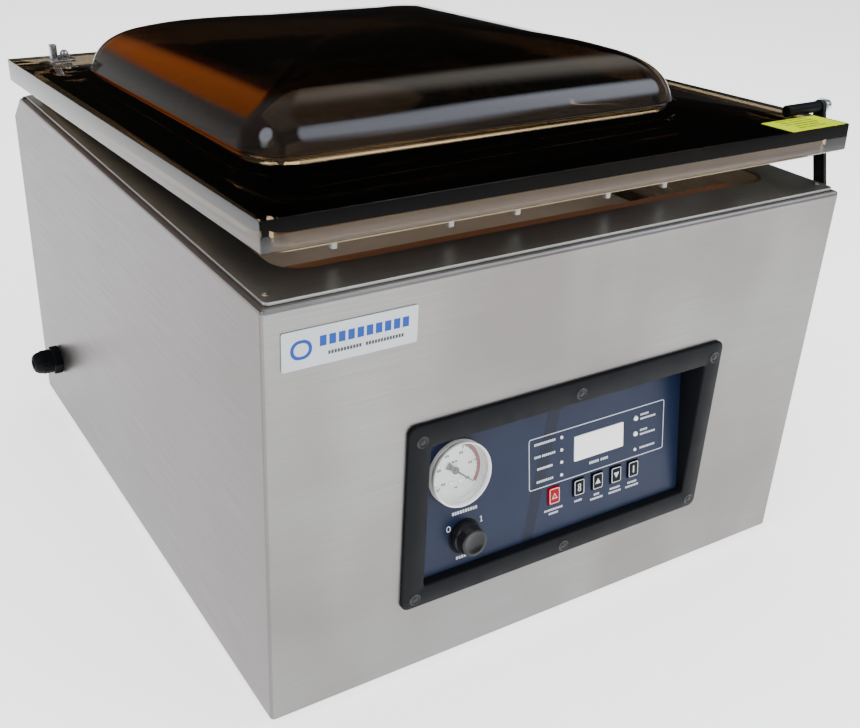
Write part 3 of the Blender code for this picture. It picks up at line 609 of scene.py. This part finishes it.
def make_keys():
    half_x, half_v = BUTTON_SIZE[0] / 2, BUTTON_SIZE[1] / 2
    for label, x in BUTTONS.items():
        spot = PANEL_POSE @ move(x, BUTTON_V, 0.0)
        body = f"button_{label}"
        key = bmesh.new()
        put_pad(key, (-half_x, half_x), (-half_v, half_v), -0.0030, BUTTON_FACE, 0.0014, 0.0005, 5)
        finish, key_slot = (RED_KEY, "red_plastic") if label == "stop" else (BLACK, "black_plastic")
        add(f"key_{label}", key, finish, spot, body, (body,))
        face = bmesh.new()
        low, high = BUTTON_FACE + 0.00003, BUTTON_FACE + 0.00016
        frame_x, frame_v = (-half_x + 0.0007, half_x - 0.0007), (-half_v + 0.0007, half_v - 0.0007)
        inner = (frame_x[0] + 0.0005, frame_x[1] - 0.0005), (frame_v[0] + 0.0005, frame_v[1] - 0.0005)
        put_band(face, rounded(frame_x, frame_v, 0.0012, 4), rounded(*inner, 0.0008, 4), low, high)
        if label == "stop":
            triangle = [(-0.0026, -0.0022), (0.0026, -0.0022), (0.0, 0.0024)]
            put_band(face, triangle, [(x * 0.68, v * 0.68 - 0.0001) for x, v in triangle], low, high)
        elif label == "select":
            for v in (-0.0016, 0.0016):
                put_band(face, rounded((-0.0014, 0.0014), (v - 0.0014, v + 0.0014), 0.0006, 3),
                         rounded((-0.0008, 0.0008), (v - 0.0008, v + 0.0008), 0.0004, 3), low, high)
        elif label in ("up", "down"):
            turn = 1.0 if label == "up" else -1.0
            arrow = [(-0.0026, -0.0020 * turn), (0.0026, -0.0020 * turn), (0.0, 0.0024 * turn)]
            put_strip(face, arrow if turn > 0 else arrow[::-1], low, high)
        else:
            put_strip(face, rounded((-0.0006, 0.0006), (-0.0030, 0.0030), 0.0004, 3), low, high)
        add(f"key_print_{label}", face, PRINT_WHITE, spot, body)


def make_panel_print():
    low, high = 0.00005, 0.00018
    build = bmesh.new()
    outer = (-0.0255, 0.1050), (0.0400, 0.0810)
    inner = (outer[0][0] + 0.0006, outer[0][1] - 0.0006), (outer[1][0] + 0.0006, outer[1][1] - 0.0006)
    put_band(build, rounded(*outer, 0.0020, 5), rounded(*inner, 0.0014, 5), low, high)
    stages = (0.0756, (0.0190,)), (0.0656, (0.0055, 0.0120)), (0.0558, (0.0140,)), (0.0455, (0.0150,))
    for v, widths in stages:
        put_words(build, (-0.0110, v), widths, 0.0018, low, high, 0.0014)
    for v, rows in ((0.0723, (0.0080, 0.0150)), (0.0595, (0.0070, 0.0150)), (0.0464, (0.0150,))):
        for index, width in enumerate(rows):
            shift = 0.0016 if len(rows) > 1 else 0.0
            put_words(build, (0.0810 + width / 2, v + shift - 0.0034 * index), (width,), 0.0016, low, high)
    put_words(build, (0.0400, 0.0474), (0.0090, 0.0070), 0.0020, low, high, 0.0020)
    captions = {"stop": (0.0170, 0.0085), "select": (0.0070,), "up": (0.0050, 0.0120),
                "down": (0.0100, 0.0120), "start": (0.0090, 0.0130)}
    for label, widths in captions.items():
        for index, width in enumerate(widths):
            put_words(build, (BUTTONS[label], 0.0195 - 0.0032 * index), (width,), 0.0016, low, high)
    put_words(build, (-0.0820, 0.0425), (0.0210,), 0.0024, low, high)
    put_words(build, (-0.0820, 0.0072), (0.0170,), 0.0022, low, high)
    zero = rounded((-0.0977, -0.0943), (0.0297, 0.0343), 0.0016, 5)
    put_band(build, zero, rounded((-0.0971, -0.0949), (0.0303, 0.0337), 0.0010, 5), low, high)
    put_box(build, (-0.0684, 0.0297, low), (-0.0677, 0.0343, high))
    put_box(build, (-0.0690, 0.0297, low), (-0.0671, 0.0302, high))
    put_box(build, (-0.0693, 0.0333, low), (-0.0680, 0.0338, high))
    add("panel_print", build, PRINT_WHITE, PANEL_POSE, "cabinet")

    shade = bmesh.new()
    sweep = [(-0.0330, 0.0010), (-0.0235, 0.0010), (0.0080, 0.1135), (-0.0040, 0.1135)]
    put_strip(shade, sweep, 0.00002, 0.00004)
    add("panel_sweep", shade, NAVY_SWEEP, PANEL_POSE, "cabinet")

    lamps = bmesh.new()
    spots = [(0.0044, v, 0.0013) for v in (0.0756, 0.0656, 0.0558, 0.0455)]
    spots += [(0.0760, 0.0723, 0.0020), (0.0760, 0.0595, 0.0020), (0.0760, 0.0464, 0.0013)]
    for x, v, r in spots:
        cap = [(0.0, r * 0.9)] + [(r * math.sin(a), r * 0.9 * math.cos(a)) for a in
                                  [math.radians(18 * k) for k in range(1, 6)]]
        put_turned(lamps, cap + [(0.0, 0.0)], 20, move(x, v, 0.0001))
    add("indicator_lamps", lamps, WHITE, PANEL_POSE, "cabinet")

    window = bmesh.new()
    put_pad(window, DISPLAY[:2], DISPLAY[2:], -0.0018, 0.0004, 0.0005, 0.0002, 3)
    add("display_pane", window, LCD, PANEL_POSE, "cabinet", ("display_window",))


def make_knob():
    knob = bmesh.new()
    profile = [(0.0, 0.0126), (0.0066, 0.0127), (0.0076, 0.0134), (0.0090, 0.0136), (0.0100, 0.0131)]
    profile += [(0.0105, 0.0120), (0.0105, 0.0070), (0.0109, 0.0063), (0.0115, 0.0058), (0.0119, 0.0048)]
    profile += [(0.0119, 0.0006), (0.0030, 0.0006), (0.0030, -0.0080), (0.0, -0.0080)]
    put_turned(knob, profile, 48)
    spot = PANEL_POSE @ move(*KNOB_AT, 0.0)
    add("knob_round", knob, SATIN_BLACK, spot, "knob", ("power_knob",))
    seat = bmesh.new()
    put_turned(seat, [(0.0034, 0.0003), (0.0132, 0.0003), (0.0135, 0.0001), (0.0034, 0.0001)], 48)
    add("knob_seat", seat, BLACK, spot, "cabinet")


def make_gauge():
    spot = PANEL_POSE @ move(*GAUGE_AT, 0.0)
    case = bmesh.new()
    profile = [(0.0, -0.0045), (0.0216, -0.0045), (0.0216, -0.0012), (0.0219, -0.0010), (0.0219, 0.0012)]
    profile += [(0.0222, 0.0014), (0.0222, 0.0036), (0.0226, 0.0038), (0.0226, 0.0070), (0.0229, 0.0077)]
    profile += [(0.0233, 0.0080), (0.0237, 0.0077), (0.0240, 0.0070), (0.0240, 0.0048), (0.0236, 0.0042)]
    profile += [(0.0240, 0.0036), (0.0240, GAP), (0.0234, GAP), (0.0234, -0.0260), (0.0, -0.0260)]
    put_turned(case, profile, 72)
    add("gauge_body", case, WHITE, spot, "cabinet", ("gauge_case",))
    dial = bmesh.new()
    put_turned(dial, [(0.0, -0.0032), (0.0215, -0.0032), (0.0215, -0.0042), (0.0, -0.0042)], 64)
    add("gauge_face", dial, DIAL_WHITE, spot, "cabinet", ("gauge_dial",))
    lens = bmesh.new()
    profile = [(0.0, 0.0060), (0.0120, 0.0058), (0.0195, 0.0052)]
    profile += [(0.0224, 0.0048), (0.0224, 0.0040), (0.0, 0.0040)]
    put_turned(lens, profile, 64)
    add("gauge_pane", lens, GLASS.material, spot, "cabinet", ("gauge_lens",))

    low, high = -0.0031, -0.0030
    marks = bmesh.new()
    first, sweep = -40.0, 260.0
    for step in range(26):
        angle = first + sweep * step / 25
        long_mark = step % 5 == 0
        inner, width = (0.0156, 0.00035) if long_mark else (0.0170, 0.0002)
        turn = Matrix.Rotation(math.radians(angle), 4, "Z")
        corners = put_box(marks, (inner, -width, low), (0.0187, width, high))
        bmesh.ops.transform(marks, matrix=turn, verts=corners)
    for step in range(6):
        angle = math.radians(first + sweep * step / 5)
        at = (0.0126 * math.cos(angle), 0.0126 * math.sin(angle))
        put_words(marks, at, (0.0012, 0.0012), 0.0017, low, high, 0.0005)
    put_words(marks, (0.0, 0.0062), (0.0016, 0.0022), 0.0014, low, high, 0.0006)
    put_words(marks, (0.0, -0.0128), (0.0022,), 0.0012, low, high)
    add("gauge_marks", marks, PRINT_BLACK, spot, "cabinet")
    for name, paint, start, stop in (
        ("gauge_red", PRINT_RED, -38.0, 96.0), ("gauge_green", PRINT_GREEN, 196.0, 222.0),
    ):
        band = bmesh.new()
        outer, inner = (arc((0.0, 0.0), radius, start, stop, 40) for radius in (0.0206, 0.0178))
        put_strip(band, outer + inner[::-1], low, high)
        add(name, band, paint, spot, "cabinet")
    screws = bmesh.new()
    head = [(0.0, -0.0026), (0.0012, -0.0027), (0.0016, -0.0031), (0.0, -0.0031)]
    for x in (-0.0034, 0.0034):
        put_turned(screws, head, 16, move(x, -0.0088, 0.0))
    add("dial_screws", screws, BRIGHT, spot, "cabinet")

    needle = bmesh.new()
    blade = [(0.0020, -0.0007), (0.0165, -0.0003), (0.0165, 0.0003), (0.0020, 0.0007)]
    tail = [(-0.0078, -0.0027), (-0.0015, -0.0008), (-0.0015, 0.0008), (-0.0078, 0.0027)]
    put_strip(needle, blade, -0.0024, -0.0019)
    put_strip(needle, tail, -0.0024, -0.0019)
    hub = [(0.0, -0.0010), (0.0018, -0.0011), (0.0026, -0.0017), (0.0026, -0.0025), (0.0, -0.0025)]
    put_turned(needle, hub, 28)
    aim = Matrix.Rotation(math.radians(-40.0), 4, "Z")
    add("needle", needle, PRINT_BLACK, spot @ aim, "pointer", ("gauge_pointer",))


# ---------------------------------------------------------------- cabinet trim


def screw_head(build, spot, radius=0.0028, height=0.0011):
    profile = [(0.0, height * 0.55), (radius * 0.30, height * 0.55), (radius * 0.42, height)]
    profile += [(radius * 0.70, height * 0.85), (radius, height * 0.25), (radius, 0.0), (0.0, 0.0)]
    put_turned(build, profile, 20, spot)


def make_trim():
    deck_high, rear_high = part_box("deck_plate")[1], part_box("rear_cover")[1]
    screws = bmesh.new()
    for x in (-0.2285, 0.2285):
        for y in (-0.2530, 0.2200):
            screw_head(screws, move(x, y, deck_high.z), 0.0024, 0.0006)
    add("deck_screws", screws, BRIGHT, Matrix(), "cabinet")

    rear = bmesh.new()
    for x in (-0.215, 0.0, 0.215):
        for z in (0.030, 0.160, 0.275):
            screw_head(rear, move(-x, z, rear_high.y), 0.0032, 0.0013)
    add("rear_screws", rear, BRIGHT, REAR_VIEW, "cabinet")
    plate = bmesh.new()
    back = rear_high.y
    put_pad(plate, (0.080, 0.160), (0.205, 0.250), back + 0.0001, back + 0.0007, 0.0015, 0.0002, 3)
    add("rating_plate", plate, SILVER_FILM, REAR_VIEW, "cabinet")
    lines = bmesh.new()
    rows = ((0.020, 0.012, 0.018), (0.014, 0.024), (0.018, 0.010, 0.014), (0.026, 0.016),
            (0.012, 0.014, 0.020))
    for row, widths in enumerate(rows):
        put_words(lines, (0.120, 0.243 - 0.008 * row), widths, 0.0022, back + 0.0008, back + 0.0009, 0.003)
    add("rating_lines", lines, PRINT_BLACK, REAR_VIEW, "cabinet")
    hoods = bmesh.new()
    for row in range(5):
        z = 0.060 + 0.016 * row
        count = 10
        rings = []
        for x in (-0.162, -0.158, -0.042, -0.038):
            swell = 0.25 if x in (-0.162, -0.038) else 1.0
            ring = []
            for step in range(count + 1):
                angle = math.radians(90.0 * step / count)
                ring.append((x, z + 0.0092 - 0.0070 * swell * (1 - math.cos(angle)),
                             back + 0.0001 + 0.0040 * swell * math.sin(angle)))
            ring.append((x, z + 0.0088, back + 0.0006))
            ring.append((x, z + 0.0092, back + 0.0001))
            rings.append(ring)
        put_loft(hoods, rings)
    add("louvre_hoods", hoods, STEEL, REAR_VIEW, "cabinet")

    feet_profile = [(0.0, 0.0097), (0.0142, 0.0097), (0.0145, 0.0092), (0.0145, 0.0062), (0.0136, 0.0055),
                    (0.0136, 0.0048), (0.0142, 0.0042), (0.0126, 0.0008), (0.0120, 0.0), (0.0060, 0.0),
                    (0.0052, 0.0020), (0.0, 0.0020)]
    for end in ("front", "rear"):
        for side in ("left", "right"):
            name = f"foot_{end}_{side}"
            low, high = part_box(name)
            foot = bmesh.new()
            put_turned(foot, feet_profile, 40)
            spot = move((low.x + high.x) / 2, (low.y + high.y) / 2, 0.0)
            add(f"rubber_{name}", foot, RUBBER, spot, "cabinet", (name,))


def make_name_label():
    low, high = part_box("name_label")
    front = -low.y
    plate = bmesh.new()
    put_pad(plate, (low.x, high.x), (low.z, high.z), -high.y, front, 0.0012, 0.0002, 4)
    add("label_plate", plate, SILVER_FILM, FRONT_VIEW, "cabinet", ("name_label",))
    art = bmesh.new()
    flat = (front + 0.00004, front + 0.00014)
    middle = (low.z + high.z) / 2
    emblem = low.x + 0.0125
    ring = rounded((emblem - 0.0070, emblem + 0.0070), (middle - 0.0062, middle + 0.0062), 0.0060, 8)
    hole = rounded((emblem - 0.0048, emblem + 0.0048), (middle - 0.0042, middle + 0.0042), 0.0041, 8)
    put_band(art, ring, hole, *flat)
    put_words(art, ((low.x + high.x) / 2 + 0.0090, middle + 0.0030), (0.0600,), 0.0066, *flat)
    add("label_emblem", art, PRINT_BLUE, FRONT_VIEW, "cabinet")
    lines = bmesh.new()
    put_words(lines, ((low.x + high.x) / 2 + 0.010, middle - 0.0055), (0.022, 0.026), 0.0022, *flat, 0.003)
    add("label_line", lines, PRINT_BLACK, FRONT_VIEW, "cabinet")


def make_gland():
    low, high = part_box("gland_body")
    y, z = (low.y + high.y) / 2, (low.z + high.z) / 2
    out = -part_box("cabinet_shell")[0].x
    spot = move(0.0, y, z) @ LEFT_VIEW @ move(0.0, 0.0, out)
    body = bmesh.new()
    hexagon = [(0.0040, 0.0083), (0.0128, 0.0083), (0.0135, 0.0076)]
    put_turned(body, hexagon + [(0.0135, 0.0010), (0.0131, GAP), (0.0040, GAP)], 6)
    put_turned(body, [(0.0036, 0.0004), (0.0080, 0.0004), (0.0080, -0.0150), (0.0036, -0.0150)], 32)
    put_turned(body, [(0.0082, -0.0020), (0.0125, -0.0020), (0.0125, -0.0065), (0.0082, -0.0065)], 6)
    add("gland_hexagon", body, BLACK, spot, "cabinet", ("gland_body",))
    cap = bmesh.new()
    profile = [(0.0036, 0.0240), (0.0042, 0.0258), (0.0058, 0.0262), (0.0078, 0.0252), (0.0095, 0.0232)]
    profile += [(0.0104, 0.0205), (0.0108, 0.0178), (0.0108, 0.0086), (0.0036, 0.0086)]
    put_turned(cap, profile, 40)
    for rib in range(12):
        turn = Matrix.Rotation(math.radians(30.0 * rib), 4, "Z")
        corners = put_box(cap, (0.0104, -0.0012, 0.0092), (0.0113, 0.0012, 0.0180))
        bmesh.ops.transform(cap, matrix=turn, verts=corners)
    add("gland_cap", cap, BLACK, spot, "cabinet", ("gland_nut",))
    plug = bmesh.new()
    put_turned(plug, [(0.0, 0.0225), (0.0034, 0.0225), (0.0034, 0.0100), (0.0, 0.0100)], 24)
    add("gland_seal", plug, RUBBER, spot, "cabinet")


# ---------------------------------------------------------------- camera and studio


def make_camera():
    heading, fall, roll = (math.radians(a) for a in (CAMERA_HEADING, CAMERA_FALL, CAMERA_ROLL))
    ahead = Vector((math.sin(heading) * math.cos(fall), math.cos(heading) * math.cos(fall), -math.sin(fall)))
    right = Vector((math.cos(heading), -math.sin(heading), 0.0))
    above = right.cross(ahead)
    across = right * math.cos(roll) + above * math.sin(roll)
    up = above * math.cos(roll) - right * math.sin(roll)
    camera = bpy.data.cameras.new("camera")
    camera.lens = CAMERA_LENS
    camera.sensor_width = 36.0
    camera.shift_x, camera.shift_y = CAMERA_SHIFT
    camera.clip_start = 0.01
    holder = bpy.data.objects.new("camera", camera)
    bpy.context.scene.collection.objects.link(holder)
    turn = Matrix((across, up, -ahead)).transposed().to_4x4()
    holder.matrix_world = Matrix.Translation(CAMERA_AT) @ turn
    bpy.context.scene.camera = holder


def soft_box(name, at, target, size, power, colour):
    light = bpy.data.lights.new(name, "AREA")
    light.shape = "RECTANGLE"
    light.size, light.size_y = size
    light.energy = power
    light.color = colour
    holder = bpy.data.objects.new(name, light)
    bpy.context.scene.collection.objects.link(holder)
    away = (Vector(at) - Vector(target)).normalized()
    holder.matrix_world = Matrix.Translation(at) @ away.to_track_quat("Z", "Y").to_matrix().to_4x4()
    return holder


# Heading clockwise from +y and height of each patch of the surroundings in degrees, the angles from its
# middle where it starts to fade and where it ends, and its colour.
PATCHES = (
    (33.0, 20.0, 22.0, 46.0, (0.012, 0.011, 0.010)),
    (-6.0, 24.0, 7.0, 15.0, (0.85, 0.22, 0.05)),
    (62.0, 47.0, 8.0, 20.0, (0.85, 0.82, 0.74)),
    (96.0, 58.0, 6.0, 26.0, (0.06, 0.06, 0.05)),
    (122.0, 38.0, 6.0, 17.0, (3.8, 4.1, 4.8)),
    (142.0, 40.0, 5.0, 16.0, (3.4, 3.7, 4.4)),
    (256.0, 44.0, 9.0, 17.0, (4.4, 4.8, 5.6)),
)


def make_world():
    """Dim soft surroundings with a few broad patches, over which the lights stand."""
    world = bpy.data.worlds.new("studio")
    world.use_nodes = True
    tree = world.node_tree
    background = tree.nodes["Background"]
    place = tree.nodes.new("ShaderNodeTexCoord").outputs["Generated"]
    split = tree.nodes.new("ShaderNodeSeparateXYZ")
    tree.links.new(place, split.inputs["Vector"])
    ramp = tree.nodes.new("ShaderNodeValToRGB")
    ends = ramp.color_ramp.elements
    ends[0].color, ends[1].color = (0.42, 0.42, 0.42, 1.0), (0.30, 0.30, 0.30, 1.0)
    ends.new(0.25).color = (0.20, 0.20, 0.20, 1.0)
    tree.links.new(split.outputs["Z"], ramp.inputs["Fac"])
    so_far = ramp.outputs["Color"]
    for heading, height, full, gone, colour in PATCHES:
        heading, height = math.radians(heading), math.radians(height)
        flat = math.cos(height)
        towards = (math.sin(heading) * flat, math.cos(heading) * flat, math.sin(height))
        turn = tree.nodes.new("ShaderNodeVectorMath")
        turn.operation = "DOT_PRODUCT"
        tree.links.new(place, turn.inputs[0])
        turn.inputs[1].default_value = towards
        fade = tree.nodes.new("ShaderNodeMapRange")
        fade.interpolation_type = "SMOOTHSTEP"
        fade.inputs["From Min"].default_value = math.cos(math.radians(gone))
        fade.inputs["From Max"].default_value = math.cos(math.radians(full))
        tree.links.new(turn.outputs["Value"], fade.inputs["Value"])
        mix = tree.nodes.new("ShaderNodeMix")
        mix.data_type = "RGBA"
        tree.links.new(fade.outputs["Result"], mix.inputs["Factor"])
        tree.links.new(so_far, mix.inputs[6])
        mix.inputs[7].default_value = (*colour, 1.0)
        so_far = mix.outputs[2]
    tree.links.new(so_far, background.inputs["Color"])
    bpy.context.scene.world = world


def make_studio():
    build = bmesh.new()
    bmesh.ops.create_grid(build, x_segments=4, y_segments=4, size=6.0)
    mesh = bpy.data.meshes.new("floor")
    build.to_mesh(mesh)
    build.free()
    floor = bpy.data.objects.new("floor", mesh)
    bpy.context.scene.collection.objects.link(floor)
    glow = {"Emission_Color": (1.0, 1.0, 1.0, 1.0), "Emission_Strength": 1.30}
    paint = Shader("floor_paint", (0.92, 0.92, 0.92), 0.80, **glow)
    paint.tint(paint.noise(3.0), (0.89, 0.89, 0.89), 0.5)
    mesh.materials.append(paint.material)

    make_world()
    for name, at, target, size, power, colour, mirrored in (
        ("front_right", (1.35, -2.15, 1.28), (0.0, -0.2, 0.35), (1.8, 1.3), 26.0, (0.97, 0.98, 1.0), False),
        ("front_left", (-1.90, -1.25, 1.60), (0.0, -0.2, 0.35), (1.2, 1.2), 14.0, (0.95, 0.97, 1.0), False),
        ("key", (-0.20, -2.30, 1.70), (0.0, 0.0, 0.20), (1.6, 1.2), 40.0, (1.0, 0.98, 0.96), False),
        ("top", (0.0, 0.2, 2.60), (0.0, 0.0, 0.0), (2.6, 2.6), 75.0, (1.0, 1.0, 1.0), False),
    ):
        soft_box(name, at, target, size, power, colour).visible_glossy = mirrored


make_camera()
make_lid()
make_lid_fittings()
make_latch()
make_bezel()
make_keys()
make_panel_print()
make_knob()
make_gauge()
make_trim()
make_name_label()
make_gland()
make_studio()
